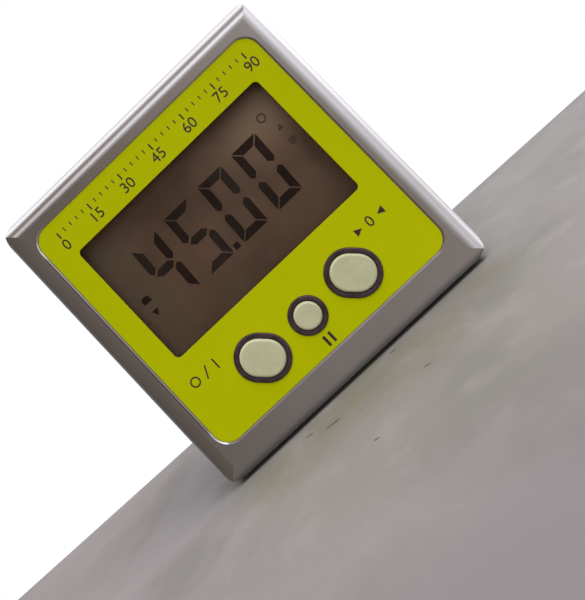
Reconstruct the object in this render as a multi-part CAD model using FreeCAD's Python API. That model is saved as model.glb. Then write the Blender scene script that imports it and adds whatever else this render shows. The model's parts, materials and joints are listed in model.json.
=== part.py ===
import FreeCAD, Part
import math
import os

# Digital box level (inclinometer): a square aluminium frame whose four outer faces are the measuring
# faces, a moulded front cover with a recessed face label, display window and three keys, and a back
# cover with a sliding battery door. Lengths are in millimetres.
# +X is to the right of the display, +Y runs from the front to the back and +Z is up.
# The origin is the middle of the bottom measuring face.

V = FreeCAD.Vector

# Case
side = 60.0              # width and height over the measuring faces
depth = 31.0             # front of the bezel to back of the cover
corner_round = 4.2       # upright edges along the depth
frame_edge = 0.3         # chamfer at both ends of the frame
cover_inset = 0.25       # both covers stand back from the measuring faces
bezel_depth = 6.0
bezel_wall = 2.2
bezel_skin = 2.2         # thickness behind the front face
bezel_front_round = 3.3  # along the four front edges; they meet in mitres at the corners
bezel_inner_round = 1.2
cover_depth = 3.0
cover_back_round = 1.2
frame_wall = 3.5
frame_base = 6.0         # thicker bottom wall, it holds the magnets
frame_inner_round = 1.0
overrun = 1.0            # how far every cut runs past the face it starts from
press_gap = 0.02         # between pieces that are pressed or screwed together

# Face label and display opening
label_side_rim = 4.59    # bezel beside the label
label_top_rim = 5.17
label_low_rim = 6.26
label_round = 3.0
label_thick = 0.25
label_gap = 0.1
recess_depth = 0.5
recess_edge = 0.22       # chamfer around the label's recess
opening_round = 0.9
label_overhang = 0.2     # the label covers the edge of the bezel's own opening
window_ledge = 0.6       # bezel thickness that holds the window from the front
window_margin = 1.6      # window plate beyond the opening, each side
window_round = 1.4

# Display stack
film_gap = 0.3           # foam frame that keeps the display off the window
gasket_clear = 0.4       # the foam frame stands back from the opening, all round
polariser_thick = 0.2
glass_thick = 0.7
reflector_thick = 0.2
glass_margin_side = 1.5
glass_margin_top = 1.3
glass_margin_bottom = 2.6
terminal_ledge = 2.3     # front glass beyond the rear glass at the bottom
glass_corner = 0.3
film_inset = 0.4
holder_wall = 1.2
holder_gap = 0.15
holder_floor = 1.0
holder_round = 1.6
holder_window_border = 4.0
strip_thick = 1.7
strip_in = 2.3           # from the ends of the glass
strip_gap = 0.1
holder_side_gap = 1.31   # to the bezel's tabs
holder_post_gap = 1.19   # to the posts above it

# Keys: two short obrounds on the diagonal and a round one between them
key_pitch = 10.33
key_low_gap = 1.64       # from the bezel's bottom tab to the keys' flanges
key_display_gap = 1.22   # from the keys' flanges to the display's tray
key_turn = 45.0
key_length = 7.85
key_width = 6.38
round_key = 4.81
collar_band = 1.0        # width of the dark collar around a key
key_clearance = 0.08     # running gap between key and collar, all round
key_proud = 0.4
key_edge_round = 0.45
key_flange = 0.6         # flange beyond the key, all round
key_flange_thick = 0.8
key_travel = 0.35
stem_radius = 1.5
collar_proud = 0.3       # collar above the label
collar_edge = 0.3        # rounding of its inner and outer rims, they make a bead

# Circuit board and what stands on it
board_set = 1.0          # front of the board behind the back of the bezel
board_thick = 1.6
board_gap = 0.5
boss_gap = 0.4
post_radius = 1.8
post_wall_gap = 1.3      # from the upper posts to the frame's top wall
post_top_in = 6.4        # posts from the case screws, towards the middle
post_low_in = 2.9
post_low_rise = 5.0
board_screw_radius = 0.8
board_screw_length = 5.0
board_head_radius = 1.6
board_head_height = 0.8
switch_side = 6.0
switch_height = 1.8
switch_corner = 0.4
switch_cover_thick = 0.2
plunger_radius = 1.6
plunger_flange = 0.4
plunger_flange_thick = 0.5
plunger_proud = 0.8
plunger_clearance = 0.08
disc_radius = 1.9
disc_rise = 0.3
disc_thick = 0.12
blob_radius = 6.0
blob_height = 1.5
blob_x = -12.0
blob_rise = 8.0          # this and the next pieces, from the middle of the case
sensor_side = 9.0
sensor_height = 3.0
sensor_lid = 7.4
sensor_lid_thick = 0.3
sensor_x = 10.0
sensor_rise = 1.0
crystal_length = 8.0
crystal_radius = 1.5
crystal_x = -12.0
crystal_rise = -4.0
chip_length = 2.0
chip_width = 1.25
chip_height = 1.1
chip_pitch = 4.0
chip_rise = -10.0

# Screws that hold the case together
screw_in = 4.6           # axis from both neighbouring measuring faces
screw_radius = 1.0
screw_clearance = 0.2
screw_boss = 2.6
screw_head_radius = 1.9
screw_head_height = 1.3
screw_head_round = 0.5
screw_sink = 1.6
screw_sink_gap = 0.25
screw_bite = 3.0         # thread length in the bezel
lip_length = 24.0
lip_thick = 1.2
lip_depth = 0.9
lip_gap = 0.1
lip_root = 2.0

# Coin cell, its well in the back cover and the sliding door
cell_radius = 10.0
cell_thick = 3.2
cell_step = 1.15         # the negative face is smaller than the can
cell_step_thick = 0.35
cell_edge = 0.3
cell_rise = 7.0          # its axis above the middle of the case
cell_gap = 0.3
well_wall = 1.3
well_floor = 1.0
contact_thick = 0.3
contact_width = 5.0
contact_back = 3.5       # how far the negative strip passes the cell's axis
tongue_width = 1.8
tongue_length = 1.6
tongue_gap = 0.15
door_side_cover = 2.2    # door beyond the well, each side
door_low_cover = 2.7     # door below the well
door_thick = 1.6
door_top_gap = 0.45
door_top_round = 0.9
door_float = 0.1         # between the door and the floor under it
door_side_gap = 0.12
door_tongue = 1.0
door_tongue_thick = 0.7
rib_count = 6
rib_pitch = 1.7
rib_width = 0.8
rib_depth = 0.4
rib_length = 13.0
rib_start = 4.0
arrow_width = 5.0        # sunk arrow above the grooves, it shows which way the door opens
arrow_height = 3.2
arrow_depth = 0.3
arrow_rise = 2.6         # above the middle of the last groove
wire_radius = 0.45
wire_bend = 3.0
wire_shift = 4.0

# Magnets in the bottom wall
magnet_radius = 5.0
magnet_thick = 4.0
magnet_in = 12.0         # axis from the side measuring face
magnet_gap = 0.03

# Places that follow from the sizes above
front_y = -depth / 2
back_y = depth / 2
mid_z = side / 2
tiny = side * 1e-6
bezel_back_y = front_y + bezel_depth
skin_in_y = front_y + bezel_skin
frame_back_y = back_y - cover_depth
cover_side = side - 2 * cover_inset
recess_y = front_y + recess_depth
label_front_y = recess_y - label_thick
label_width = side - 2 * label_side_rim
label_height = side - label_top_rim - label_low_rim
label_z = label_low_rim + label_height / 2
cavity_low_z = frame_base
cavity_top_z = side - frame_wall
cavity_mid_z = (cavity_low_z + cavity_top_z) / 2
cavity_half = side / 2 - frame_wall
key_half = (key_length - key_width) / 2 * math.sin(math.radians(key_turn)) + key_width / 2 + key_flange
key_z = cavity_low_z + lip_gap + lip_thick + key_low_gap + key_half
holder_low_z = key_z + key_half + key_display_gap
holder_top_z = cavity_top_z - post_wall_gap - 2 * post_radius - holder_post_gap
holder_half = cavity_half - lip_gap - lip_thick - holder_side_gap
glass_half = holder_half - holder_wall - holder_gap
glass_low_z = holder_low_z + holder_wall + holder_gap
glass_top_z = holder_top_z - holder_wall - holder_gap
glass_width = 2 * glass_half
strip_length = glass_width - 2 * strip_in
opening_width = glass_width - 2 * glass_margin_side
opening_low_z = glass_low_z + glass_margin_bottom
opening_top_z = glass_top_z - glass_margin_top
opening_height = opening_top_z - opening_low_z
opening_z = (opening_low_z + opening_top_z) / 2
window_front_y = recess_y + window_ledge
display_y = skin_in_y + film_gap
front_glass_y = display_y + polariser_thick
rear_glass_y = front_glass_y + glass_thick
reflector_y = rear_glass_y + glass_thick
stack_back_y = reflector_y + reflector_thick
board_front_y = bezel_back_y + board_set
board_back_y = board_front_y + board_thick
switch_top_y = board_front_y - switch_height
cover_top_y = switch_top_y - switch_cover_thick
plunger_tip_y = cover_top_y - plunger_proud
key_front_y = front_y - key_proud
flange_back_y = skin_in_y + key_flange_thick
collar_front_y = label_front_y - collar_proud
screw_x = side / 2 - screw_in
screw_places = [(sx * screw_x, mid_z + sz * screw_x) for sz in (1, -1) for sx in (-1, 1)]
post_top_z = cavity_top_z - post_wall_gap - post_radius
post_low_z = screw_in + post_low_rise
post_places = [(s * (screw_x - post_top_in), post_top_z) for s in (-1, 1)]
post_places += [(s * (screw_x - post_low_in), post_low_z) for s in (-1, 1)]
blob_z = mid_z + blob_rise
sensor_z = mid_z + sensor_rise
crystal_z = mid_z + crystal_rise
chip_z = mid_z + chip_rise
cell_z = mid_z + cell_rise
magnet_x = side / 2 - magnet_in
door_out_y = back_y
door_in_y = door_out_y - door_thick
track_y = door_in_y - door_float
cell_back_y = track_y - door_float
cell_front_y = cell_back_y - cell_thick
well_floor_y = cell_front_y - contact_thick
well_front_y = well_floor_y - well_floor
well_radius = cell_radius + cell_gap
tongue_end_y = well_front_y - tongue_length
door_top_z = side - cover_inset - door_top_gap
door_width = 2 * (well_radius + door_side_cover)
door_bottom_z = cell_z - well_radius - door_low_cover
strip_z = glass_low_z + (terminal_ledge - strip_thick) / 2 + strip_thick / 2

# Each key: name, place across the face, size along and across its axis, turn
KEYS = [
    ("on_off", -key_pitch, key_length, key_width, key_turn),
    ("hold", 0, round_key, round_key, 0),
    ("zero", key_pitch, key_length, key_width, key_turn),
]


def plate(width, height, y0, y1, x, z, corner, turn=0):
    """Upright plate with rounded corners, from y0 to y1, turned about its own middle."""
    w = width / 2
    h = height / 2
    r = min(corner, w, h)
    k = r * (1 - math.sqrt(0.5))
    runs = [
        ((w, r - h), (w, h - r), (w - k, h - k)),
        ((w - r, h), (r - w, h), (k - w, h - k)),
        ((-w, h - r), (-w, r - h), (k - w, k - h)),
        ((r - w, -h), (w - r, -h), (w - k, k - h)),
    ]
    edges = []
    for i, (start, end, knee) in enumerate(runs):
        a = V(x + start[0], y0, z + start[1])
        b = V(x + end[0], y0, z + end[1])
        after = runs[(i + 1) % 4][0]
        if a.distanceToPoint(b) > tiny:
            edges.append(Part.makeLine(a, b))
        if r > tiny:
            m = V(x + knee[0], y0, z + knee[1])
            c = V(x + after[0], y0, z + after[1])
            edges.append(Part.Arc(b, m, c).toShape())
    solid = Part.Face(Part.Wire(edges)).extrude(V(0, y1 - y0, 0))
    if turn:
        solid.rotate(V(x, y0, z), V(0, 1, 0), turn)
    return solid


def disc(radius, y0, y1, x, z):
    """Round piece whose axis runs front to back."""
    return Part.makeCylinder(radius, y1 - y0, V(x, y0, z), V(0, 1, 0))


def block(x0, x1, y0, y1, z0, z1):
    """Square-edged block between two opposite corners."""
    return Part.makeBox(x1 - x0, y1 - y0, z1 - z0, V(x0, y0, z0))


def rim(shape, y):
    """Edges that lie in the plane at y."""
    return [e for e in shape.Edges if all(abs(v.Y - y) < tiny for v in e.Vertexes)]


def joined(shape, others):
    """One solid from touching pieces, with no seams between coplanar faces."""
    return shape.fuse(others).removeSplitter()


def lips(y0, y1, root_y, reach):
    """Four tabs that place a cover inside the frame; each stands on a foot that reaches its wall."""
    tabs = []
    half = lip_length / 2
    edge = cavity_half - lip_gap
    for s in (-1, 1):
        lo, hi = sorted((s * (edge - lip_thick), s * edge))
        flo, fhi = sorted((s * (edge - lip_thick), s * reach))
        tabs.append(block(lo, hi, y0, y1, cavity_mid_z - half, cavity_mid_z + half))
        if root_y < y0:
            tabs.append(block(flo, fhi, root_y, y0, cavity_mid_z - half, cavity_mid_z + half))
    top = cavity_top_z - lip_gap
    low = cavity_low_z + lip_gap
    tabs.append(block(-half, half, y0, y1, top - lip_thick, top))
    tabs.append(block(-half, half, y0, y1, low, low + lip_thick))
    if root_y < y0:
        tabs.append(block(-half, half, root_y, y0, top - lip_thick, mid_z + reach))
        tabs.append(block(-half, half, root_y, y0, mid_z - reach, low + lip_thick))
    return tabs


def front_bezel():
    """Moulded front cover: rounded shell, label recess, window pocket, key openings and posts."""
    shell = plate(cover_side, cover_side, front_y, bezel_back_y, 0, mid_z, corner_round)
    for along_z in (False, True):
        blank = plate(cover_side, cover_side, front_y, bezel_back_y, 0, mid_z, 0)
        edges = [e for e in rim(blank, front_y) if (e.BoundBox.ZLength > e.BoundBox.XLength) == along_z]
        shell = shell.common(blank.makeFillet(bezel_front_round, edges))
    hollow = cover_side - 2 * bezel_wall
    shell = shell.cut(plate(hollow, hollow, skin_in_y, bezel_back_y + overrun, 0, mid_z, bezel_inner_round))
    posts = [disc(screw_boss, skin_in_y, bezel_back_y, x, z) for x, z in screw_places]
    posts += [disc(post_radius, skin_in_y, board_front_y, x, z) for x, z in post_places]
    feet = lips(bezel_back_y, bezel_back_y + lip_depth, bezel_back_y - lip_root, hollow / 2 + bezel_wall / 2)
    shell = joined(shell, posts + feet)
    gap = 2 * label_gap
    cuts = [plate(label_width + gap, label_height + gap, front_y - overrun, recess_y, 0, label_z,
                  label_round + label_gap)]
    wide = opening_width + 2 * label_overhang
    tall = opening_height + 2 * label_overhang
    cuts.append(plate(wide, tall, front_y - overrun, skin_in_y + overrun, 0, opening_z,
                      opening_round + label_overhang))
    cuts.append(window_blank(window_front_y, skin_in_y + overrun, 0))
    for name, x, length, width, turn in KEYS:
        cuts.append(collar_blank(x, length, width, turn, front_y - overrun, skin_in_y + overrun, press_gap))
    for x, z in screw_places:
        hole = screw_radius + press_gap
        cuts.append(disc(hole, bezel_back_y - screw_bite - press_gap, bezel_back_y + overrun, x, z))
    for x, z in post_places:
        hole = board_screw_radius + press_gap
        end_y = board_back_y - board_screw_length - press_gap
        cuts.append(disc(hole, end_y, board_front_y + overrun, x, z))
    shell = shell.cut(cuts)
    half = label_width / 2 + label_gap + tiny
    recess_rim = [e for e in rim(shell, front_y) if all(abs(v.X) < half for v in e.Vertexes)]
    return shell.makeChamfer(recess_edge, recess_rim)


def window_blank(y0, y1, shrink):
    """Window plate, or with no shrink the pocket that it sits in."""
    wide = opening_width + 2 * window_margin - 2 * shrink
    tall = opening_height + 2 * window_margin - 2 * shrink
    return plate(wide, tall, y0, y1, 0, opening_z, window_round)


def collar_blank(x, length, width, turn, y0, y1, grow):
    """Outline of a key's collar, grown all round."""
    wide = length + 2 * (collar_band + grow)
    tall = width + 2 * (collar_band + grow)
    return plate(wide, tall, y0, y1, x, key_z, tall / 2, turn)


def key_blank(x, length, width, turn, y0, y1, grow):
    """Outline of a key, grown all round."""
    wide = length + 2 * grow
    tall = width + 2 * grow
    return plate(wide, tall, y0, y1, x, key_z, tall / 2, turn)


def face_label():
    """Thin plastic overlay in the bezel's recess, open at the display and the keys."""
    sheet = plate(label_width, label_height, label_front_y, recess_y, 0, label_z, label_round)
    y0 = label_front_y - overrun
    y1 = recess_y + overrun
    cuts = [plate(opening_width, opening_height, y0, y1, 0, opening_z, opening_round)]
    for name, x, length, width, turn in KEYS:
        cuts.append(collar_blank(x, length, width, turn, y0, y1, press_gap))
    return sheet.cut(cuts)


def display_window():
    """Clear plate behind the opening."""
    return window_blank(window_front_y, skin_in_y, press_gap)


def collar(x, length, width, turn):
    """Dark ring that guides a key and stands a little above the label."""
    ring = collar_blank(x, length, width, turn, collar_front_y, skin_in_y, 0)
    ring = ring.cut(key_blank(x, length, width, turn, collar_front_y - overrun, skin_in_y + overrun,
                              key_clearance))
    return ring.makeFillet(collar_edge, rim(ring, collar_front_y))


def key(x, length, width, turn):
    """Key cap with a retaining flange behind the bezel and a stem that meets its switch."""
    cap = key_blank(x, length, width, turn, key_front_y, skin_in_y, 0)
    cap = cap.makeFillet(key_edge_round, rim(cap, key_front_y))
    flange = key_blank(x, length, width, turn, skin_in_y, flange_back_y, key_flange)
    stem = disc(stem_radius, flange_back_y, plunger_tip_y, x, key_z)
    return joined(cap, [flange, stem])


def glass(y0, low_z, inset=0):
    """One sheet of the display, from low_z to the top of the glass."""
    tall = glass_top_z - low_z - 2 * inset
    return plate(glass_width - 2 * inset, tall, y0[0], y0[1], 0, low_z + inset + tall / 2, glass_corner)


def display_gasket():
    """Foam frame between the window and the display."""
    band = glass((skin_in_y, display_y), glass_low_z, film_inset)
    wide = opening_width + 2 * gasket_clear
    tall = opening_height + 2 * gasket_clear
    return band.cut(plate(wide, tall, skin_in_y - overrun, display_y + overrun, 0, opening_z,
                          opening_round + gasket_clear))


def front_polariser():
    return glass((display_y, front_glass_y), glass_low_z, film_inset)


def lcd_front_glass():
    return glass((front_glass_y, rear_glass_y), glass_low_z)


def lcd_rear_glass():
    return glass((rear_glass_y, reflector_y), glass_low_z + terminal_ledge)


def rear_reflector():
    return glass((reflector_y, stack_back_y), glass_low_z + terminal_ledge, film_inset)


def lcd_holder():
    """Tray that holds the display between bezel and board, with a slot for the contact strip."""
    z = (holder_top_z + holder_low_z) / 2
    wide = 2 * (holder_half - holder_wall)
    high = holder_top_z - holder_low_z - 2 * holder_wall
    tray = plate(2 * holder_half, holder_top_z - holder_low_z, skin_in_y, board_front_y, 0, z, holder_round)
    floor_y = stack_back_y + holder_floor
    cuts = [plate(wide, high, skin_in_y - overrun, stack_back_y, 0, z, glass_corner)]
    cuts.append(plate(wide, high, floor_y, board_front_y + overrun, 0, z, glass_corner))
    border = 2 * holder_window_border
    cuts.append(plate(wide - border, high - border, stack_back_y - overrun, floor_y + overrun, 0, z,
                      holder_round))
    cuts.append(plate(strip_length + 2 * strip_gap, strip_thick + 2 * strip_gap, stack_back_y - overrun,
                      floor_y + overrun, 0, strip_z, 0))
    return tray.cut(cuts)


def contact_strip():
    """Rubber strip that joins the front glass's terminals to the board."""
    return plate(strip_length, strip_thick, rear_glass_y, board_front_y, 0, strip_z, 0)


def main_board():
    """Circuit board with notches around the case screws' bosses."""
    low = cavity_low_z + board_gap
    top = cavity_top_z - board_gap
    wide = 2 * (cavity_half - board_gap)
    sheet = plate(wide, top - low, board_front_y, board_back_y, 0, (low + top) / 2, 0)
    y0 = board_front_y - overrun
    y1 = board_back_y + overrun
    cuts = [disc(screw_boss + boss_gap, y0, y1, x, z) for x, z in screw_places]
    cuts += [disc(board_screw_radius + press_gap, y0, y1, x, z) for x, z in post_places]
    return sheet.cut(cuts)


def board_screw(x, z):
    """Small pan-head screw from the back of the board into a post of the bezel."""
    head = disc(board_head_radius, board_back_y, board_back_y + board_head_height, x, z)
    shank = disc(board_screw_radius, board_back_y - board_screw_length, board_back_y, x, z)
    return joined(head, [shank])


def switch_base(x):
    """Moulded base of a key's switch, with the well that its plunger works in."""
    base = plate(switch_side, switch_side, switch_top_y, board_front_y, x, key_z, switch_corner)
    well = plunger_radius + plunger_flange + plunger_clearance
    floor_y = switch_top_y + plunger_flange_thick + key_travel + disc_rise
    return base.cut(disc(well, switch_top_y - overrun, floor_y, x, key_z))


def switch_cover(x):
    """Sheet-metal cover over the base."""
    sheet = plate(switch_side, switch_side, cover_top_y, switch_top_y, x, key_z, switch_corner)
    return sheet.cut(disc(plunger_radius + plunger_clearance, cover_top_y - overrun, switch_top_y + overrun,
                          x, key_z))


def switch_plunger(x):
    """Plunger: its flange is kept under the cover and its tip meets the key's stem."""
    tip = disc(plunger_radius, plunger_tip_y, switch_top_y, x, key_z)
    flange = disc(plunger_radius + plunger_flange, switch_top_y, switch_top_y + plunger_flange_thick,
                  x, key_z)
    return joined(tip, [flange])


def click_disc(x):
    """Thin domed disc on the floor of the switch's well; the plunger reaches it at full travel."""
    floor_y = switch_top_y + plunger_flange_thick + key_travel + disc_rise
    radius = (disc_radius ** 2 + disc_rise ** 2) / (2 * disc_rise)
    middle = V(x, floor_y - disc_rise + radius, key_z)
    dome = Part.makeSphere(radius, middle).cut(Part.makeSphere(radius - disc_thick, middle))
    return dome.common(disc(disc_radius, floor_y - disc_rise - disc_thick, floor_y, x, key_z))


def controller_blob():
    """Controller die under a low dome of black resin."""
    radius = (blob_radius ** 2 + blob_height ** 2) / (2 * blob_height)
    middle_y = board_back_y + blob_height - radius
    ball = Part.makeSphere(radius, V(blob_x, middle_y, blob_z))
    return ball.common(block(blob_x - radius, blob_x + radius, board_back_y, board_back_y + radius,
                             blob_z - radius, blob_z + radius))


def tilt_sensor():
    """Ceramic package of the tilt sensor with its metal lid."""
    body = plate(sensor_side, sensor_side, board_back_y, board_back_y + sensor_height, sensor_x, sensor_z, 0)
    lid_y = board_back_y + sensor_height
    lid = plate(sensor_lid, sensor_lid, lid_y, lid_y + sensor_lid_thick, sensor_x, sensor_z, glass_corner)
    return joined(body, [lid])


def clock_crystal():
    """Metal can of the clock crystal, lying on the board."""
    start = V(crystal_x - crystal_length / 2, board_back_y + crystal_radius, crystal_z)
    return Part.makeCylinder(crystal_radius, crystal_length, start, V(1, 0, 0))


def chip_part(place):
    """Small ceramic block on the board."""
    x = sensor_x + place * chip_pitch
    return plate(chip_length, chip_width, board_back_y, board_back_y + chip_height, x, chip_z, 0)


def body_frame():
    """Square aluminium frame with screw bosses in its corners and two magnet pockets in its base."""
    ring = plate(side, side, bezel_back_y, frame_back_y, 0, mid_z, corner_round)
    ring = ring.makeChamfer(frame_edge, rim(ring, bezel_back_y) + rim(ring, frame_back_y))
    y0 = bezel_back_y - overrun
    y1 = frame_back_y + overrun
    ring = ring.cut(plate(2 * cavity_half, cavity_top_z - cavity_low_z, y0, y1, 0, cavity_mid_z,
                          frame_inner_round))
    ring = joined(ring, [disc(screw_boss, bezel_back_y, frame_back_y, x, z) for x, z in screw_places])
    cuts = [disc(screw_radius + screw_clearance, y0, y1, x, z) for x, z in screw_places]
    middle_y = (bezel_back_y + frame_back_y) / 2
    for s in (-1, 1):
        foot = V(s * magnet_x, middle_y, -overrun)
        cuts.append(Part.makeCylinder(magnet_radius + magnet_gap, magnet_thick + overrun, foot))
    return ring.cut(cuts)


def base_magnet(s):
    """Round magnet, flush with the bottom measuring face."""
    return Part.makeCylinder(magnet_radius, magnet_thick,
                             V(s * magnet_x, (bezel_back_y + frame_back_y) / 2, 0))


def back_cover():
    """Back cover with the battery well, the door's track and four sunk screw holes."""
    cover = plate(cover_side, cover_side, frame_back_y, back_y, 0, mid_z, corner_round)
    cover = cover.makeFillet(cover_back_round, rim(cover, back_y))
    well = disc(well_radius + well_wall, well_front_y, frame_back_y, 0, cell_z)
    tabs = lips(frame_back_y - lip_depth, frame_back_y, frame_back_y - lip_depth, 0)
    cover = joined(cover, [well] + tabs)
    cuts = [disc(well_radius, well_floor_y, back_y + overrun, 0, cell_z)]
    half = door_width / 2 + door_side_gap
    groove = half + door_tongue
    top = side + overrun
    cuts.append(block(-half, half, track_y, back_y + overrun, door_bottom_z, top))
    cuts.append(block(-groove, groove, track_y, door_in_y + door_tongue_thick + door_float, door_bottom_z,
                      top))
    for x, z in screw_places:
        y1 = back_y + overrun
        cuts.append(disc(screw_radius + screw_clearance, frame_back_y - overrun, y1, x, z))
        cuts.append(disc(screw_head_radius + screw_sink_gap, back_y - screw_sink, y1, x, z))
    y0 = well_front_y - overrun
    slot = tongue_width / 2 + tongue_gap
    thick = contact_thick + 2 * tongue_gap
    z = cell_z + negative_tongue()
    cuts.append(block(-slot, slot, y0, well_floor_y + overrun, z - thick / 2, z + thick / 2))
    pocket = contact_width / 2 + tongue_gap
    low = cell_z + cell_radius - tongue_gap
    high = cell_z + cell_radius + contact_thick + tongue_gap
    cuts.append(block(-pocket, pocket, well_floor_y, track_y + overrun, low, high))
    cuts.append(block(-slot, slot, y0, well_floor_y + overrun, low, high))
    return cover.cut(cuts)


def negative_tongue():
    """Height of the negative contact's tongue above the cell's axis."""
    return cell_radius - cell_step - contact_width / 2


def negative_contact():
    """Strip on the floor of the well, with a tongue through it to its wire."""
    y0 = well_floor_y
    high = cell_z + negative_tongue() + contact_thick / 2
    strip = block(-contact_width / 2, contact_width / 2, y0, y0 + contact_thick, cell_z - contact_back, high)
    half = tongue_width / 2
    tongue = block(-half, half, tongue_end_y, y0, high - contact_thick, high)
    return joined(strip, [tongue])


def positive_contact():
    """Strip along the well's wall that meets the cell's rim, with a tongue through the floor."""
    low = cell_z + cell_radius
    high = low + contact_thick
    half = contact_width / 2
    strip = block(-half, half, well_floor_y, cell_back_y - cell_edge, low, high)
    tongue = block(-tongue_width / 2, tongue_width / 2, tongue_end_y, well_floor_y, low, high)
    return joined(strip, [tongue])


def battery_cell():
    """Coin cell: its can faces the door and its smaller negative face the floor of the well."""
    can = disc(cell_radius, cell_front_y + cell_step_thick, cell_back_y, 0, cell_z)
    can = can.makeFillet(cell_edge, rim(can, cell_back_y))
    cap = disc(cell_radius - cell_step, cell_front_y, cell_front_y + cell_step_thick, 0, cell_z)
    return joined(can, [cap])


def battery_door():
    """Door that slides up in the cover: two side tongues run in grooves, ribs give the thumb a grip."""
    half = door_width / 2
    door = block(-half, half, door_in_y, door_out_y, door_bottom_z, door_top_z)
    top = [e for e in rim(door, door_out_y) if all(abs(v.Z - door_top_z) < tiny for v in e.Vertexes)]
    door = door.makeFillet(door_top_round, top)
    wide = half + door_tongue
    rails = block(-wide, wide, door_in_y, door_in_y + door_tongue_thick, door_bottom_z, door_top_z)
    door = joined(door, [rails])
    cuts = []
    for i in range(rib_count):
        z = door_bottom_z + rib_start + i * rib_pitch
        cuts.append(plate(rib_length, rib_width, door_out_y - rib_depth, door_out_y + overrun, 0, z,
                          rib_width / 2))
    y = door_out_y - arrow_depth
    foot = door_bottom_z + rib_start + (rib_count - 1) * rib_pitch + arrow_rise
    left = V(-arrow_width / 2, y, foot)
    right = V(arrow_width / 2, y, foot)
    tip = V(0, y, foot + arrow_height)
    outline = Part.makePolygon([left, right, tip, left])
    cuts.append(Part.Face(outline).extrude(V(0, arrow_depth + overrun, 0)))
    return door.cut(cuts)


def case_screw(x, z):
    """Long pan-head screw from the back cover through the frame into the bezel."""
    seat_y = back_y - screw_sink
    head = disc(screw_head_radius, seat_y, seat_y + screw_head_height, x, z)
    head = head.makeFillet(screw_head_round, rim(head, seat_y + screw_head_height))
    return joined(head, [disc(screw_radius, bezel_back_y - screw_bite, seat_y, x, z)])


def battery_wire(z, s):
    """Insulated wire from a contact's tongue to the back of the board, with two easy bends."""
    reach = (tongue_end_y - board_back_y) / 3
    points = [
        V(0, tongue_end_y, z),
        V(0, tongue_end_y - reach, z),
        V(s * wire_shift, board_back_y + reach, z),
        V(s * wire_shift, board_back_y, z),
    ]
    edges = []
    start = points[0]
    for before, knee, after in zip(points, points[1:], points[2:]):
        a = (before - knee).normalize()
        b = (after - knee).normalize()
        half = a.getAngle(b) / 2
        run = wire_bend / math.tan(half)
        inner = (a + b).normalize() * (wire_bend / math.sin(half) - wire_bend)
        edges.append(Part.makeLine(start, knee + a * run))
        edges.append(Part.Arc(knee + a * run, knee + inner, knee + b * run).toShape())
        start = knee + b * run
    edges.append(Part.makeLine(start, points[-1]))
    path = Part.Wire(edges)
    ring = Part.Wire([Part.makeCircle(wire_radius, points[0], V(0, -1, 0))])
    tube = path.makePipeShell([ring], True, False)
    print("wire", round(tube.Volume / (math.pi * wire_radius ** 2 * path.Length), 4))
    return tube


def pieces():
    """Every piece of the instrument by name."""
    made = {
        "front_bezel": front_bezel(),
        "body_frame": body_frame(),
        "back_cover": back_cover(),
        "battery_door": battery_door(),
        "face_label": face_label(),
        "display_window": display_window(),
        "lcd_holder": lcd_holder(),
        "display_gasket": display_gasket(),
        "front_polariser": front_polariser(),
        "lcd_front_glass": lcd_front_glass(),
        "lcd_rear_glass": lcd_rear_glass(),
        "rear_reflector": rear_reflector(),
        "contact_strip": contact_strip(),
        "main_board": main_board(),
        "controller_blob": controller_blob(),
        "tilt_sensor": tilt_sensor(),
        "clock_crystal": clock_crystal(),
        "battery_cell": battery_cell(),
        "negative_contact": negative_contact(),
        "positive_contact": positive_contact(),
        "negative_wire": battery_wire(cell_z + negative_tongue(), -1),
        "positive_wire": battery_wire(cell_z + cell_radius + contact_thick / 2, 1),
        "base_magnet_left": base_magnet(-1),
        "base_magnet_right": base_magnet(1),
    }
    for name, x, length, width, turn in KEYS:
        made[name + "_key"] = key(x, length, width, turn)
        made[name + "_collar"] = collar(x, length, width, turn)
        made[name + "_switch_base"] = switch_base(x)
        made[name + "_switch_cover"] = switch_cover(x)
        made[name + "_switch_plunger"] = switch_plunger(x)
        made[name + "_click_disc"] = click_disc(x)
    for i, place in enumerate((-1, 0, 1)):
        made["chip_part_%d" % (i + 1)] = chip_part(place)
    for i, (x, z) in enumerate(screw_places):
        made["case_screw_%d" % (i + 1)] = case_screw(x, z)
    for i, (x, z) in enumerate(post_places):
        made["board_screw_%d" % (i + 1)] = board_screw(x, z)
    return made


os.makedirs("parts", exist_ok=True)
for node, solid in pieces().items():
    solid.exportStep("parts/" + node + ".step")
    print(node, len(solid.Solids), round(solid.Volume, 3), solid.isValid())
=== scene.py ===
# %% [markdown]
# # A digital box level, dressed around its CAD model
#
# The object is a square measuring tool that reads how steeply it leans. Its front is a silver moulded
# cover with a yellow-green face label, a dark liquid-crystal display and three pale keys. Behind it are an
# aluminium frame with four measuring faces and a back cover with a sliding battery door.
#
# The solid pieces come ready from CAD, in metres, in one fixed frame: X to the right of the display, Y from
# the front to the back, Z up, and the origin in the middle of the bottom face. This lesson gives each piece
# its finish, adds what is too fine for CAD (printed marks, display segments, screw recesses), and lights it.

# %% Load the frame
import json
import math
import bmesh
import bpy
from mathutils import Matrix, Vector


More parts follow.
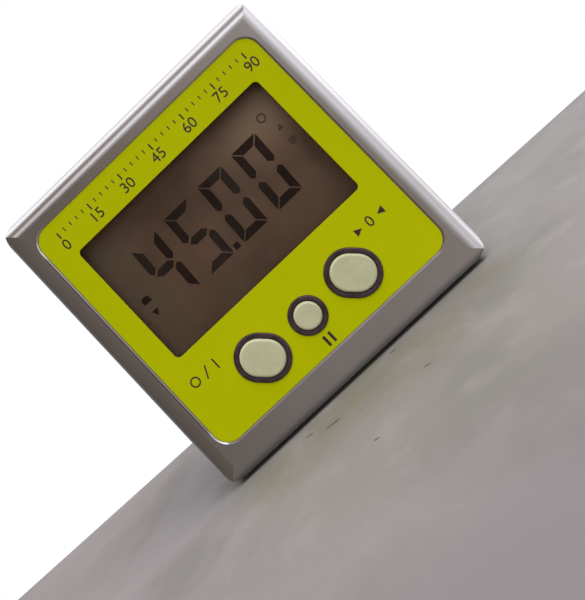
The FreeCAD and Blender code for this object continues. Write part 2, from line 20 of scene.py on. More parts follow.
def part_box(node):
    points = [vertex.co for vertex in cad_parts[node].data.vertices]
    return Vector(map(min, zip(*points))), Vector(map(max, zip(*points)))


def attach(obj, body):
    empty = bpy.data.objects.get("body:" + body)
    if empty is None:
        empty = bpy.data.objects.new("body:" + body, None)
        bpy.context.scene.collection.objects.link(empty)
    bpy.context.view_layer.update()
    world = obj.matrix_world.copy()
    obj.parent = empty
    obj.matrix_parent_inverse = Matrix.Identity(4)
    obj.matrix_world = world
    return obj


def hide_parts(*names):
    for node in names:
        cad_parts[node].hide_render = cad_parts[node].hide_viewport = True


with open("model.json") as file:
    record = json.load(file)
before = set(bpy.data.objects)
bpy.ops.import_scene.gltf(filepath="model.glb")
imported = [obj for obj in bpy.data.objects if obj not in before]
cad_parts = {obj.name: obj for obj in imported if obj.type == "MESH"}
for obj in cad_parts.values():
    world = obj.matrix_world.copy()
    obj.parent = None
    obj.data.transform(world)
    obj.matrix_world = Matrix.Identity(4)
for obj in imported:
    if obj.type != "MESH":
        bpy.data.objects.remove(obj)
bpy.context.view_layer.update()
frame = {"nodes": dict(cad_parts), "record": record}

nodes = frame["nodes"]
slot_of = {part["node"]: part["material_slot"] for part in frame["record"]["subparts"]}
MM = 0.001
print("CAD nodes:", len(nodes), "slots:", len(set(slot_of.values())))

# %% [markdown]
# ## The camera
#
# The photograph was taken from very near, about level with the middle of the tool, with the camera rolled
# by about 44 degrees, so that the tool looks as if it leans. The place and the two directions below were
# worked out from the outline of the tool and the corners of the label and of the display. They fit only if
# the middle of the lens is up and to the left of the middle of the picture, as in a picture that was cropped,
# so the lens is shifted by as much. The roll is part of the camera's axes: its right, its up and its look.

# %% Make the camera
LONG_SIDE_PIXELS = 600
FOCAL_PIXELS = 600
SENSOR_MM = 36.0
CROP_PIXELS = (-80, -70)     # middle of the lens from the middle of the picture, to the right and down
camera_place = Vector((3.130, -116.063, 29.669)) * MM
look = Vector((-0.04728, 0.99772, 0.04822)).normalized()
right = Vector((0.72055, 0.06749, -0.69011))
right = (right - look * right.dot(look)).normalized()
picture_up = right.cross(look)

lens = bpy.data.cameras.new("camera")
lens.sensor_width = SENSOR_MM
lens.lens = lens.sensor_width * FOCAL_PIXELS / LONG_SIDE_PIXELS
lens.shift_x, lens.shift_y = (-v / LONG_SIDE_PIXELS for v in (CROP_PIXELS[0], -CROP_PIXELS[1]))
lens.clip_start, lens.clip_end = 0.005, 50.0
camera = bpy.data.objects.new("camera", lens)
camera_axes = Matrix((right, picture_up, -look)).transposed().to_4x4()
camera.matrix_world = Matrix.Translation(camera_place) @ camera_axes
bpy.context.scene.collection.objects.link(camera)
bpy.context.scene.camera = camera
print("lens mm:", round(lens.lens, 1), "up in the picture:", [round(v, 3) for v in picture_up])

# %% [markdown]
# ## Two small helpers for shader nodes
#
# Every finish here is procedural: a small network of nodes works out colour, roughness and relief at each
# point. Written with raw links such a network is hard to read, so one class wraps a socket and lets Python's
# operators add the Math nodes, and one class makes every other node from its type, its settings and what
# goes into its sockets. Colours and vectors keep to Mix and Vector Math nodes.

# %% Wires: sockets that can be used in an expression
class Wire:
    """The output of a node. Arithmetic with it adds Math nodes, or Vector Math nodes on vectors."""

    def __init__(self, nodes, socket):
        self.nodes, self.socket = nodes, socket

    def math(self, operation, *terms):
        if self.socket.type == "VECTOR":
            return self.nodes.node("ShaderNodeVectorMath", {"operation": operation}, dict(enumerate(terms)))
        return self.nodes.node("ShaderNodeMath", {"operation": operation}, dict(enumerate(terms)))

    def __add__(self, other): return self.math("ADD", self, other)
    def __radd__(self, other): return self.math("ADD", other, self)
    def __sub__(self, other): return self.math("SUBTRACT", self, other)
    def __rsub__(self, other): return self.math("SUBTRACT", other, self)
    def __mul__(self, other): return self.math("MULTIPLY", self, other)
    def __truediv__(self, other): return self.math("DIVIDE", self, other)
    def __neg__(self): return self.math("MULTIPLY", self, -1.0)
    def __abs__(self): return self.math("ABSOLUTE", self)
    def min(self, other): return self.math("MINIMUM", self, other)
    def max(self, other): return self.math("MAXIMUM", self, other)
    def wave(self): return self.math("SINE", self)


# %% Node networks
def pick(sockets, key):
    """A socket by number, by name, or by its own identifier where several share a name."""
    if isinstance(key, int):
        return sockets[key]
    for socket in sockets:
        if socket.identifier == key:
            return socket
    return sockets[key]


class Nodes:
    """The nodes of one material or of the world."""

    def __init__(self, owner):
        owner.use_nodes = True
        self.owner, self.tree = owner, owner.node_tree
        self.tree.nodes.clear()

    def node(self, kind, settings=None, inputs=None, out=0):
        """Makes a node of this kind: settings first, then the values or wires of its sockets."""
        made = self.tree.nodes.new(kind)
        for name, value in (settings or {}).items():
            if name == "stops":
                self.set_stops(made.color_ramp, value)
            else:
                setattr(made, name, value)
        for key, value in (inputs or {}).items():
            socket = pick(made.inputs, key)
            if isinstance(value, Wire):
                self.tree.links.new(value.socket, socket)
            elif socket.type == "RGBA":
                socket.default_value = (*value[:3], 1.0)
            else:
                socket.default_value = value
        return Wire(self, pick(made.outputs, out)) if len(made.outputs) else made

    @staticmethod
    def set_stops(ramp, stops):
        while len(ramp.elements) < len(stops):
            ramp.elements.new(1.0)
        for element, (place, colour) in zip(ramp.elements, stops):
            element.position, element.color = place, (*colour, 1.0)

    def mix(self, share, first, second):
        """Blends two colours: share 0 gives the first, 1 the second."""
        return self.node("ShaderNodeMix", {"data_type": "RGBA"},
                         {"Factor_Float": share, "A_Color": first, "B_Color": second}, "Result_Color")

    def ease(self, value, low, high, start=0.0, end=1.0):
        """Runs smoothly from start to end while value runs from low to high."""
        return self.node("ShaderNodeMapRange", {"interpolation_type": "SMOOTHSTEP"},
                         {"Value": value, "From Min": low, "From Max": high, "To Min": start, "To Max": end})


# %% [markdown]
# A finish is a network that ends in a Principled surface. The detail is placed in millimetres on the object
# itself, so that it stays put when the camera moves and when the model is exported: `place` is the point in
# the object's frame, and noise is asked for by the size of its patches.

# %% Finishes: materials measured in millimetres
def linear(*rgb):
    """A colour read off a screen, 0 to 255, as the linear colour that a shader wants."""
    return tuple(v / 255 / 12.92 if v < 11 else ((v / 255 + 0.055) / 1.055) ** 2.4 for v in rgb)


class Finish(Nodes):
    """One procedural material."""

    def __init__(self, name):
        super().__init__(bpy.data.materials.new(name))
        spot = self.node("ShaderNodeTexCoord", out="Object")
        self.place = self.node("ShaderNodeVectorMath", {"operation": "SCALE"},
                               {"Vector": spot, "Scale": 1 / MM})
        self.split = {}

    def along(self, axis):
        """The millimetres along one axis of the object."""
        if axis not in self.split:
            self.split[axis] = self.node("ShaderNodeSeparateXYZ", inputs={"Vector": self.place}, out=axis)
        return self.split[axis]

    def noise(self, patch, detail=2.0, rough=0.5, shift=0.0, stretch=(1, 1, 1)):
        """Soft noise from 0 to 1, with patches of about this many millimetres."""
        spot = self.node("ShaderNodeMapping", None,
                         {"Vector": self.place, "Location": (shift, shift * 2, shift * 3),
                          "Scale": tuple(1 / (patch * s) for s in stretch)})
        return self.node("ShaderNodeTexNoise", None,
                         {"Vector": spot, "Scale": 1.0, "Detail": detail, "Roughness": rough})

    def relief(self, height, depth, strength=1.0):
        """Normal of a surface that stands up by height times depth millimetres."""
        return self.node("ShaderNodeBump", None,
                         {"Height": height, "Strength": strength, "Distance": depth * MM})

    def surface(self, **sockets):
        """Ends the network. Socket names are written with underscores for spaces."""
        made = self.node("ShaderNodeBsdfPrincipled", None,
                         {name.replace("_", " "): value for name, value in sockets.items()})
        self.node("ShaderNodeOutputMaterial", None, {"Surface": made})
        return self.owner


print("helpers ready")

# %% [markdown]
# ## Floor, world and lamps
#
# The tool stands on a pale grey board. Its far edge runs slanting through the picture, and beyond it the
# background is plain white. The board is a thin slab whose far edge follows the line where the two sight
# lines of that edge meet the ground.

# %% The board it stands on
edge_points = [Vector((-117.2, 51.3, 0)) * MM, Vector((81.8, 29.5, 0)) * MM]
edge_way = (edge_points[1] - edge_points[0]).normalized()
inward = Vector((edge_way.y, -edge_way.x, 0))
if inward.dot(-edge_points[0]) < 0:
    inward = -inward


def board_slab(name, thick, left, right_end, near):
    """A slab under the object, its top at zero height and its far edge on the line above."""
    middle = (edge_points[0] + edge_points[1]) / 2
    sides = ((-left, 0), (right_end, 0), (right_end, near), (-left, near))
    corners = [middle + edge_way * a + inward * b for a, b in sides]
    mesh = bpy.data.meshes.new(name)
    net = bmesh.new()
    face = net.faces.new([net.verts.new(c) for c in corners])
    made = bmesh.ops.extrude_face_region(net, geom=[face])
    for vert in [v for v in made["geom"] if isinstance(v, bmesh.types.BMVert)]:
        vert.co.z -= thick
    bmesh.ops.recalc_face_normals(net, faces=net.faces)
    net.to_mesh(mesh)
    net.free()
    board = bpy.data.objects.new(name, mesh)
    bpy.context.scene.collection.objects.link(board)
    return board


board = board_slab("board", thick=0.018, left=0.30, right_end=0.118, near=0.35)
board.visible_glossy = False
print("far edge of the board is", round(edge_points[0].dot(inward) / -MM), "mm from the object")

# %% [markdown]
# Its finish is pale grey, faintly stained and scratched in a few places in front of the tool. Just in front
# of the tool it is greenish and darker, a stain that also carries painted shade for the tool's soft shadow,
# and right under it a painted contact shadow darkens it. The board takes the tool's shadow, but the tool
# doesn't
# mirror it: what the tool mirrors is all laid down below, in the world.

# %% Finish of the board
floor = Finish("floor_board")
stain = floor.noise(30, 3, 0.6, 4.0)
warm = floor.noise(70, 3, 0.55, 9.0)
grain = floor.noise(1.6, 3, 0.6)
floor_x, floor_y = floor.along("X"), floor.along("Y")
shade = floor.mix(floor.ease(warm, 0.35, 0.65), linear(144, 138, 139), linear(137, 132, 129))
shade = floor.mix(floor.ease(stain, 0.45, 0.62, 0, 0.80), shade, linear(128, 124, 121))
paler = floor.ease(floor.noise(11, 3, 0.6, 21.0), 0.50, 0.70, 0, 0.50)
shade = floor.mix(paler, shade, linear(151, 146, 145))
shade = floor.mix(floor.ease(grain, 0.3, 0.8, 0, 0.10), shade, linear(112, 110, 106))
shade = floor.mix(floor.ease(floor_x, -35, -75, 0, 0.5), shade, linear(154, 144, 144))
shade = floor.mix(floor.ease(floor_y, -50, -76, 0, 0.7), shade, linear(126, 118, 122))
# Greenish stain in front of the tool, darker there also as painted shade for the tool's soft shadow.
near_tool = floor.ease(floor_y, -38, -22) * floor.ease(floor_x, 36, 16) * floor.ease(floor_x, -36, -18)
stain_and_painted_shade = floor.ease(floor.noise(13, 3, 0.6, 31.0), 0.34, 0.60) * near_tool
shade = floor.mix(stain_and_painted_shade * 0.8, shade, linear(124, 121, 105))
ragged = floor.noise(0.9, 2, 0.6, 5.0)
SCRATCHES = [     # middle in X and Y, half the length, half the width, turn in degrees
    (-8.3, -23.3, 2.3, 0.5, -15), (7.6, -32.1, 1.1, 0.45, -30), (6.0, -17.0, 1.0, 0.4, -29),
    (-12.8, -19.8, 1.3, 0.4, -39), (-3.8, -39.1, 0.9, 0.4, -31),
]
for x, y, half_long, half_wide, degrees in SCRATCHES:
    local = floor.node("ShaderNodeMapping", {"vector_type": "TEXTURE"},
                       {"Vector": floor.place, "Location": (x, y, 0),
                        "Rotation": (0, 0, math.radians(degrees)), "Scale": (half_long, half_wide, 1)})
    away = floor.node("ShaderNodeVectorMath", {"operation": "LENGTH"}, {0: local}, "Value")
    shade = floor.mix(floor.ease(away + ragged * 1.2, 1.5, 0.9, 0, 0.8), shade, linear(70, 68, 58))
# Painted contact shadow: the board is darkened right under the front edge of the tool.
painted_contact_shadow = floor.ease(abs(floor_y), 14.9, 13.9) * floor.ease(abs(floor_x), 28.5, 27)
shade = floor.mix(painted_contact_shadow * 0.85, shade, linear(40, 36, 34))
board.data.materials.append(floor.surface(
    Base_Color=shade, Roughness=floor.ease(stain, 0.3, 0.7, 0.55, 0.65), IOR=1.45,
    Specular_IOR_Level=0.1, Normal=floor.relief(grain, 0.03, 0.5)))

# %% [markdown]
# The light is that of a plain studio: a soft white surrounding and broad lamps. What a glossy surface
# mirrors matters as much as what lights it. The silver cover is grey where it faces the camera, because it
# mirrors the dim side of the room, and white along its rounded top and right edges, which mirror the bright
# side. So what the world shows to mirrors is graded by direction, with three tables: one goes round the tool
# at its own height, one goes from the front over its top to the back, and one goes from the front under it.
# Dim light is a little warmer than bright light. The soft boxes are kept out of the reflections, as a
# photographer does with screens, and the camera itself sees plain white.

# %% The world
room = Nodes(bpy.data.worlds.new("room"))
bpy.context.scene.world = room.owner
way = room.node("ShaderNodeTexCoord", out="Generated")
way_x, way_y, way_z = (room.node("ShaderNodeSeparateXYZ", inputs={"Vector": way}, out=axis) for axis in "XYZ")
AROUND = [(-180, 1.20), (-165, 0.90), (-152, 0.45), (-125, 0.20), (-95, 0.10), (-75, 0.14), (-60, 0.13),
          (-18, 0.14), (-8, 0.17), (0, 0.20), (8, 0.26), (15, 0.32), (24, 0.42), (31, 0.52), (38, 0.66),
          (46, 0.88), (54, 1.15), (62, 1.28), (71, 1.10), (81, 1.00), (91, 1.30), (104, 2.10), (114, 2.10),
          (126, 1.10), (180, 1.20)]
OVER = [(-180, 0.30), (0, 0.20), (17, 0.25), (25, 0.28), (32, 0.52), (40, 1.35), (47, 1.90), (55, 1.10),
        (62, 0.36), (72, 0.30), (81, 0.55), (92, 1.80), (102, 2.20), (110, 2.05), (120, 1.20), (150, 1.05),
        (180, 0.80)]
UNDER = [(-180, 0.10), (-20, 0.20), (0, 0.29), (16, 0.28), (36, 0.28), (60, 0.30), (78, 0.28), (90, 0.23),
         (102, 0.17), (116, 0.12), (134, 0.05), (150, 0.20), (158, 0.50), (180, 0.70)]
LEVEL_MOST = 2.2
BRIGHTEST_WAY = (0.40, -0.25, 0.88)     # where most of the soft light comes from
WARM_DIM, WHITE, COOL_BRIGHT = (1.0, 0.80, 0.60), (1.0, 1.0, 1.02), (0.90, 0.94, 1.0)


def table(across, ahead, rows):
    """A level read from a table of (degrees, level), by the angle between two parts of the direction."""
    angle = room.node("ShaderNodeMath", {"operation": "ARCTAN2"}, {0: across, 1: ahead})
    stops = [((degrees + 180) / 360, (level / LEVEL_MOST,) * 3) for degrees, level in rows]
    return room.node("ShaderNodeValToRGB", {"stops": stops}, {"Fac": angle / (2 * math.pi) + 0.5}) * 1.0


def toward(direction):
    """How far each direction of the world leans to this one, from -1 to 1."""
    goal = tuple(Vector(direction).normalized())
    return room.node("ShaderNodeVectorMath", {"operation": "DOT_PRODUCT"}, {0: way, 1: goal}, "Value")


ahead = -way_y
around = table(way_x, ahead, AROUND)
over = table(way_z, ahead, OVER)
under = table(-way_z, ahead, UNDER)
upward = room.ease(way_z - abs(way_x) * 0.7, 0.22, 0.42)
around = around * (0.96 + way_z.max(-0.04) * 2.0 * room.ease(way_x, -0.2, 0.1))
over = over * (1.0 + (way_x.max(-0.22).min(0.15) * 1.7 + 0.05) * room.ease(ahead, -0.1, 0.4))
under = under * (1.0 + way_x.max(-0.3).min(0.3))
downward = room.ease(-way_z - abs(way_x) * 0.5, -0.05, 0.2)
mirrored = (around + upward * (over - around) + downward * (under - around)) * LEVEL_MOST
soft = room.ease(toward(BRIGHTEST_WAY), -0.2, 1.0, 0.22, 1.05)
ray = room.node("ShaderNodeLightPath", out="Is Camera Ray")
glossy = room.node("ShaderNodeLightPath", out="Is Glossy Ray")
through = room.node("ShaderNodeLightPath", out="Is Transmission Ray")
level = soft + glossy * (mirrored - soft)
seen = ray.max(through)
level = level + seen * (1.0 - level)
white = room.ease(level, 0.15, 0.60).max(downward * 0.6).max(room.ease(way_y, 0.0, 0.4))
tint = room.mix(white, WARM_DIM, WHITE)
tint = room.mix(room.ease(level, 0.7, 1.6) * glossy, tint, COOL_BRIGHT)
backdrop = room.node("ShaderNodeBackground", None, {"Color": tint, "Strength": level})
room.node("ShaderNodeOutputWorld", None, {"Surface": backdrop})
print("world table rows:", len(AROUND), len(OVER), len(UNDER))


# %% The lamps
def lamp(name, place, side, power, aim=(0, 0, 0.03)):
    """A square soft box of this side, in metres, aimed at the object and kept out of reflections."""
    light = bpy.data.lights.new(name, "AREA")
    light.size, light.energy = side, power
    holder = bpy.data.objects.new(name, light)
    holder.location = place
    holder.rotation_euler = (Vector(aim) - Vector(place)).to_track_quat("-Z", "Y").to_euler()
    holder.visible_glossy = False
    bpy.context.scene.collection.objects.link(holder)
    return holder


lamp("window_light", (0.36, -0.24, 0.60), side=0.45, power=2.4)
lamp("fill_light", (-0.12, -0.44, 0.52), side=0.50, power=1.5)
lamp("ceiling_light", (0.02, 0.0, 0.55), side=0.15, power=0.18)
bpy.context.scene.view_settings.view_transform = "Standard"

# %% [markdown]
# ## Silver covers
#
# The front and back covers and the battery door are moulded plastic with a satin silver paint. Such paint is
# a clear binder full of tiny aluminium flakes: mostly metallic, not quite mirror-like, with a fine grain and
# a little unevenness. A Principled surface with high Metallic does this. Roughness and a very small relief
# carry the grain, and patches some millimetres wide keep the large face from looking printed. Beside the left
# edge of the label runs a narrow strip of painted shade, which dims the reflection on the edge of the recess.

# %% Silver paint
def silver_paint(name, tone):
    """Satin silver paint of this tone."""
    paint = Finish(name)
    flakes = paint.noise(0.16, 2, 0.6)
    cloud = paint.noise(9, 3, 0.5, 3.0)
    darker, lighter = (linear(*(v + step for v in tone)) for step in (-3, 3))
    shade = paint.mix(paint.ease(cloud, 0.3, 0.7), darker, lighter)
    shade = paint.mix(paint.ease(flakes, 0.35, 0.75, 0, 0.15), shade, linear(205, 200, 198))
    front = paint.ease(paint.along("Y"), -12.5, -14.5)
    # Painted shade: a narrow darker strip beside the left edge of the label dims the reflection on the recess
    # edge.
    beside_label = paint.ease(abs(paint.along("X") + 25.7), 0.3, 0.15)
    strip = paint.ease(abs(paint.along("Z") - 30.5), 21.0, 19.5) * beside_label * front
    shade = paint.mix(strip * 0.65, shade, linear(96, 88, 78))
    rough = paint.ease(cloud, 0.3, 0.7, 0.17, 0.21) + flakes * 0.03
    return paint.surface(Base_Color=shade, Metallic=0.9, Roughness=rough, Coat_Weight=0.25,
                         Coat_Roughness=0.06, Normal=paint.relief(flakes, 0.0015, 0.2))


silver_cover = silver_paint("silver_cover", (189, 183, 183))
print("silver paint made")

# %% [markdown]
# ## Aluminium frame
#
# The frame is cut from an extruded square tube, so faint straight lines run from front to back over its
# measuring faces. Noise stretched a hundredfold along Y gives them, in roughness and in relief.

# %% Drawn aluminium
metal = Finish("frame_metal")
lines = metal.noise(0.22, 3, 0.6, 1.0, (1, 90, 1))
dull = metal.noise(7, 3, 0.55, 6.0)
shade = metal.mix(metal.ease(lines, 0.35, 0.7), linear(172, 173, 175), linear(194, 195, 197))
shade = metal.mix(metal.ease(dull, 0.55, 0.8, 0, 0.35), shade, linear(150, 150, 150))
frame_metal = metal.surface(Base_Color=shade, Metallic=1.0,
                            Roughness=metal.ease(lines, 0.3, 0.7, 0.26, 0.38),
                            Normal=metal.relief(lines, 0.006, 0.5))

# %% [markdown]
# ## Face label
#
# The label is a thin sheet of clear plastic, printed yellow-green on its back and finely textured on its
# front, so that it hardly shines. The print has a faint cloudiness, and painted light makes it a little
# lighter toward the lower edge of the tool. Its blue is almost nothing, so its reflection is kept low, or a
# grey veil would lie on it.

# %% Yellow-green label
label = Finish("label_face")
cloud = label.noise(14, 3, 0.5, 2.0)
texture = label.noise(0.25, 2, 0.6, 1.0)
height = label.along("Z")
# Painted light: the label is lighter toward the lower edge of the tool.
shade = label.mix(label.ease(height, 5, 50), linear(183, 188, 0), linear(172, 177, 0))
shade = label.mix(label.ease(cloud, 0.35, 0.7, 0, 0.5), shade, linear(175, 182, 0))
shade = label.mix(label.ease(texture, 0.3, 0.75, 0, 0.12), shade, linear(148, 156, 0))
label_face = label.surface(Base_Color=shade, Roughness=label.ease(cloud, 0.3, 0.7, 0.42, 0.5),
                           Specular_IOR_Level=0.04, Normal=label.relief(texture, 0.006, 0.4))

# %% [markdown]
# ## Display
#
# Behind the clear window lie a foam frame and the display: a grey polarising film, two sheets of glass and a
# reflecting film. Seen from the front the film alone decides the look. It is brown-grey and cloudy, and
# darker toward the bottom. Painted reflection makes it greener toward the left edge and lighter at the upper
# right, and painted light lightens it in bands along the top, the right and the left, against the shade of
# the walls of the opening. The clouds are mixed from noise, and the bands from millimetres along X and Z.

# %% Cloudy display film
film = Finish("display_front")
across, up = film.along("X"), film.along("Z")
cloud = film.noise(11, 3, 0.5, 3.0)
fine = film.noise(3.2, 3, 0.6, 7.0)
shade = film.mix(film.ease(cloud, 0.32, 0.66), linear(72, 54, 40), linear(91, 69, 54))
shade = film.mix(film.ease(fine, 0.45, 0.75, 0, 0.35), shade, linear(80, 60, 48))
# Painted reflection: greener toward the left edge.
shade = film.mix(film.ease(across, -13.7, -15.1, 0, 0.75), shade, linear(78, 68, 51))
# Painted reflection: a lighter patch at the upper right.
corner = film.ease(across, 4.0, 16.0) * film.ease(up, 34.0, 43.0)
shade = film.mix(corner * 0.9, shade, linear(120, 99, 79))
# Darker toward the bottom.
shade = film.mix(film.ease(up, 33.5, 23.9, 0, 0.6), shade, linear(76, 58, 44))
# Painted light: lighter bands along the top, the right and the left edge, against the shade of the opening's
# walls.
shade = film.mix(film.ease(up, 44.5, 48.5, 0, 0.95), shade, linear(112, 86, 66))
shade = film.mix(film.ease(across, 19.8, 21.6, 0, 0.4), shade, linear(112, 86, 66))
shade = film.mix(film.ease(across, -18.0, -21.5, 0, 0.5), shade, linear(86, 72, 56))
shade = film.mix(film.ease(film.noise(6, 2, 0.5, 12.0), 0.58, 0.74, 0, 0.5), shade, linear(92, 62, 56))
display_front = film.surface(Base_Color=shade, Roughness=0.38, Specular_IOR_Level=0.2,
                             Normal=film.relief(fine, 0.01, 0.2))

# %% Dark segments
glyph = Finish("segment_dark")
tone = glyph.noise(5, 2, 0.5, 8.0)
shade = glyph.mix(glyph.ease(tone, 0.38, 0.62), linear(30, 15, 13), linear(22, 11, 10))
segment_dark = glyph.surface(Base_Color=shade, Roughness=glyph.ease(tone, 0.3, 0.7, 0.35, 0.45),
                             Specular_IOR_Level=0.15)

pale = Finish("segment_faint")
tone = pale.noise(1.0, 2, 0.6, 8.0)
shade = pale.mix(pale.ease(tone, 0.3, 0.7), linear(62, 50, 44), linear(74, 62, 54))
segment_faint = pale.surface(Base_Color=shade, Roughness=0.4, Specular_IOR_Level=0.15)

# %% [markdown]
# The window is a clear acrylic plate. Real glass in a ray tracer would darken what lies behind it and make
# grain, so the plate is nearly see-through by Alpha: what is left of its surface is a faint haze and gloss.

# %% Clear window
clear = Finish("window_clear")
smear = clear.noise(8, 3, 0.6, 5.0, (1, 1, 2.5))
window_clear = clear.surface(Base_Color=clear.mix(smear, linear(80, 70, 58), linear(128, 116, 98)),
                             Roughness=clear.ease(smear, 0.3, 0.7, 0.04, 0.12), IOR=1.49,
                             Alpha=clear.ease(smear, 0.40, 0.75, 0.015, 0.05))
print("display finishes made")

# %% [markdown]
# ## Keys and their collars
#
# The key caps are cream, slightly see-through plastic, and their faces are a little mottled. The collars
# around them are dark brown, with a satin bead that catches a thin line of light.

# %% Cream caps
cap = Finish("key_cap")
cloud = cap.noise(2.4, 3, 0.5, 2.0)
speck = cap.noise(0.35, 2, 0.6, 5.0)
shade = cap.mix(cap.ease(cloud, 0.35, 0.65), linear(186, 188, 152), linear(195, 192, 158))
shade = cap.mix(cap.ease(speck, 0.4, 0.8, 0, 0.2), shade, linear(160, 158, 130))
key_cap = cap.surface(Base_Color=shade, Roughness=cap.ease(cloud, 0.3, 0.7, 0.42, 0.52),
                      Subsurface_Weight=0.15, Subsurface_Radius=(0.001, 0.0008, 0.0005),
                      Subsurface_Scale=0.5, Normal=cap.relief(speck, 0.008, 0.3))

# %% Dark collars
ring = Finish("key_collar")
tone = ring.noise(1.6, 3, 0.55, 4.0)
shade = ring.mix(ring.ease(tone, 0.35, 0.65), linear(50, 36, 38), linear(66, 50, 56))
key_collar = ring.surface(Base_Color=shade, Roughness=ring.ease(tone, 0.3, 0.7, 0.3, 0.42),
                          Specular_IOR_Level=0.4, Normal=ring.relief(ring.noise(0.3), 0.005, 0.3))

# %% [markdown]
# ## What is inside
#
# The case is shut, so these pieces show only when the battery door is open or in an exploded view, but each
# still gets the finish of the real thing: moulded plastic with a fine spark texture, cellular foam, a green
# circuit board with its tracks under the lacquer, resin, ceramic, plated sheet metal, wires and magnets.

# %% Plastics and rubbers
def moulded(name, dark, light, rough, grain=0.3, shine=0.5):
    """Plain moulded material between two tones, with a fine grain."""
    made = Finish(name)
    cloud = made.noise(4, 3, 0.5, 3.0)
    texture = made.noise(grain, 2, 0.6)
    shade = made.mix(made.ease(cloud, 0.3, 0.7), linear(*dark), linear(*light))
    return made.surface(Base_Color=shade, Roughness=made.ease(texture, 0.3, 0.7, rough - 0.05, rough + 0.07),
                        Specular_IOR_Level=shine, Normal=made.relief(texture, grain * 0.05, 0.5))


dark_plastic = moulded("dark_plastic", (38, 38, 39), (46, 46, 47), 0.5)
gasket_foam = moulded("gasket_foam", (26, 26, 27), (42, 42, 43), 0.85, 0.12, 0.2)
resin = moulded("resin", (20, 20, 21), (27, 27, 28), 0.2, 1.2)
sensor_ceramic = moulded("sensor_ceramic", (72, 70, 68), (84, 82, 79), 0.55)
chip_ceramic = moulded("chip_ceramic", (150, 122, 92), (166, 138, 108), 0.5)
wire_black = moulded("wire_black", (28, 28, 29), (36, 36, 37), 0.38)
wire_red = moulded("wire_red", (150, 24, 22), (166, 34, 30), 0.38)
display_back = moulded("display_back", (104, 100, 86), (116, 112, 97), 0.45)

rubber = Finish("strip_rubber")
layers = rubber.ease((rubber.along("X") * (2 * math.pi / 0.18)).wave(), -0.2, 0.2)
strip_rubber = rubber.surface(Base_Color=rubber.mix(layers, linear(190, 188, 180), linear(40, 40, 42)),
                              Roughness=0.6)

glass = Finish("display_glass")
tint = glass.noise(12, 2)
display_glass = glass.surface(Base_Color=glass.mix(tint, linear(186, 192, 186), linear(196, 200, 194)),
                              Roughness=0.05, Alpha=glass.ease(tint, 0.3, 0.7, 0.28, 0.34))

# %% Circuit board
mask = Finish("board")
tracks = mask.node("ShaderNodeTexBrick", {"offset": 0.37, "squash": 1.0},
                   {"Vector": mask.place, "Color1": (1, 1, 1), "Color2": (0.6, 0.6, 0.6),
                    "Mortar": (0, 0, 0), "Scale": 0.35, "Mortar Size": 0.06}, "Fac")
weave = mask.noise(0.5, 2)
shade = mask.mix(mask.ease(weave, 0.3, 0.7), linear(16, 84, 44), linear(22, 98, 52))
shade = mask.mix(tracks * 0.7, shade, linear(40, 128, 66))
board_green = mask.surface(Base_Color=shade, Roughness=0.32, Normal=mask.relief(tracks, 0.03, 0.4))


# %% Metals
def plated(name, dark, light, rough, ways=(1, 1, 1), grain=0.3):
    """Plated or bright metal between two tones, its grain stretched along some axes."""
    made = Finish(name)
    lines = made.noise(grain, 3, 0.6, 2.0, ways)
    dull = made.noise(5, 3, 0.5, 7.0)
    shade = made.mix(made.ease(dull, 0.35, 0.75), linear(*light), linear(*dark))
    return made.surface(Base_Color=shade, Metallic=1.0,
                        Roughness=made.ease(lines, 0.3, 0.7, rough - 0.05, rough + 0.08),
                        Normal=made.relief(lines, 0.004, 0.4))


bright_metal = plated("bright_metal", (176, 176, 174), (202, 202, 200), 0.28, (6, 1, 1))
contact_metal = plated("contact_metal", (190, 176, 140), (214, 202, 166), 0.25, (1, 1, 8))
magnet_metal = plated("magnet_metal", (178, 176, 170), (208, 206, 200), 0.14, (1, 1, 1))
screw_steel = plated("screw_steel", (150, 150, 150), (186, 186, 186), 0.3, (1, 1, 1), 0.15)
cell_metal = plated("cell_metal", (184, 184, 180), (210, 209, 205), 0.2, (1, 1, 9))
print("finishes so far:", len(bpy.data.materials))

# %% [markdown]
# ## Give every CAD piece its finish
#
# The record that came with the model names a slot for each piece, so one table joins slots to finishes.

# %% Assign
FINISHES = {
    "silver_cover": silver_cover, "frame_metal": frame_metal, "label_face": label_face,
    "window_clear": window_clear, "dark_plastic": dark_plastic, "gasket_foam": gasket_foam,
    "display_front": display_front, "display_glass": display_glass, "display_back": display_back,
    "strip_rubber": strip_rubber, "board": board_green, "resin": resin, "sensor_ceramic": sensor_ceramic,
    "chip_ceramic": chip_ceramic, "bright_metal": bright_metal, "cell_metal": cell_metal,
    "contact_metal": contact_metal, "wire_black": wire_black, "wire_red": wire_red,
    "magnet_metal": magnet_metal, "key_cap": key_cap, "key_collar": key_collar, "screw_steel": screw_steel,
}
for name, piece in nodes.items():
    piece.data.materials.clear()
    piece.data.materials.append(FINISHES[slot_of[name]])
print("pieces with a finish:", len(nodes))

# %% [markdown]
# ## Flat marks
#
# The display's segments and the print on the label are films a few hundredths of a millimetre thick. Each is
# made as a real thin plate, cut from an outline in millimetres from the middle of the label. It stands
# a little proud of what carries it and is sunk a little into it, so that no two faces coincide.

# %% Plates from outlines
MARK_PROUD, MARK_SUNK = 0.03, 0.02
label_low, label_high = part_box("face_label")
label_front = label_low.y
label_middle = (label_low.z + label_high.z) / 2
print("label mm:", [round(v / MM, 2) for v in label_high - label_low], "middle at",
      round(label_middle / MM, 2))


def add_piece(name, mesh, finish, body="case"):
    """Puts a finished mesh into the scene as a piece that rides on a body."""
    piece = bpy.data.objects.new(name, mesh)
    bpy.context.scene.collection.objects.link(piece)
    mesh.materials.clear()
    mesh.materials.append(finish)
    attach(piece, body)
    return piece


